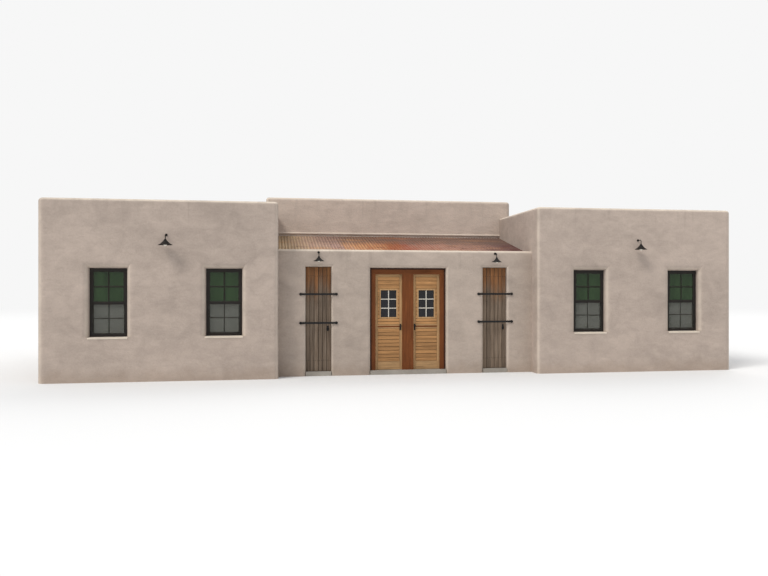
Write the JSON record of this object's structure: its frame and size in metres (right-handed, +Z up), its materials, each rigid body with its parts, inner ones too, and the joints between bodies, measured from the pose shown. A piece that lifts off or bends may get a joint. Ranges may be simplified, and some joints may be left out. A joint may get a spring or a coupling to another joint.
{
  "type": "adobe house",
  "caption": "Flat-roofed plastered adobe house with two wings, a recessed entry under a rusted corrugated roof, plank doors and a taller hall behind.",
  "frame": {"origin": "on the ground under the middle of the footprint, on the underside of the floor slab", "axes": "+X to the right seen from the front, +Y into the house, +Z up"},
  "size_m": [15.9698, 11.6548, 4.4],
  "materials": {
    "concrete": "rough cast concrete",
    "stucco": "trowelled earth-coloured lime plaster",
    "roof_membrane": "weathered mineral roofing",
    "rafter_wood": "rough sawn",
    "rusted_sheet": "rusted corrugated sheet",
    "bronze_frame": "dark bronze, satin",
    "window_glass": "clear",
    "sill_plaster": "smooth plaster",
    "red_wood": "stained red-brown",
    "tan_wood": "oiled tan boards",
    "weathered_wood": "weathered planks",
    "black_iron": "black forged",
    "lamp_glass": "frosted",
    "drain_metal": "galvanized"
  },
  "bodies": {
    "house": {"floor_slab": "concrete", "left_wing_front_wall": "stucco", "left_wing_side_wall": "stucco", "left_wing_inner_wall": "stucco", "left_wing_back_wall": "stucco", "right_wing_front_wall": "stucco", "right_wing_side_wall": "stucco", "right_wing_inner_wall": "stucco", "right_wing_back_wall": "stucco", "entry_wall_left": "stucco", "entry_wall_right": "stucco", "entry_wall_head": "stucco", "hall_front_wall": "stucco", "hall_left_wall": "stucco", "hall_right_wall": "stucco", "hall_back_wall": "stucco", "left_wing_roof": "roof_membrane", "right_wing_roof": "roof_membrane", "hall_roof": "roof_membrane", "entry_rafters": "rafter_wood", "entry_purlins": "rafter_wood", "entry_roof_sheet": "rusted_sheet", "left_window_frames": "bronze_frame", "left_window_glass": "window_glass", "right_window_frames": "bronze_frame", "right_window_glass": "window_glass", "back_window_frames": "bronze_frame", "back_window_glass": "window_glass", "window_sills": "sill_plaster", "door_jambs": "red_wood", "door_frame_head": "red_wood", "door_mullion": "red_wood", "fixed_hinge_leaves": "black_iron", "left_plank_door": "weathered_wood", "right_plank_door": "weathered_wood", "plank_door_bars": "black_iron", "wall_lamps": "black_iron", "lamp_bulbs": "lamp_glass", "roof_drains": "drain_metal"},
    "left_door": {"left_door_leaf": "tan_wood", "left_door_glass": "window_glass", "left_door_fittings": "black_iron"},
    "right_door": {"right_door_leaf": "tan_wood", "right_door_glass": "window_glass", "right_door_fittings": "black_iron"}
  },
  "joints": [
    {"name": "left_door_hinge", "type": "hinge", "parent": "house", "child": "left_door", "pos_m": [-0.7775, -4.761, 0], "axis": [0, 0, 1], "range_deg": [0, 100]},
    {"name": "right_door_hinge", "type": "hinge", "parent": "house", "child": "right_door", "pos_m": [0.7775, -4.761, 0], "axis": [0, 0, -1], "range_deg": [0, 100]}
  ]
}
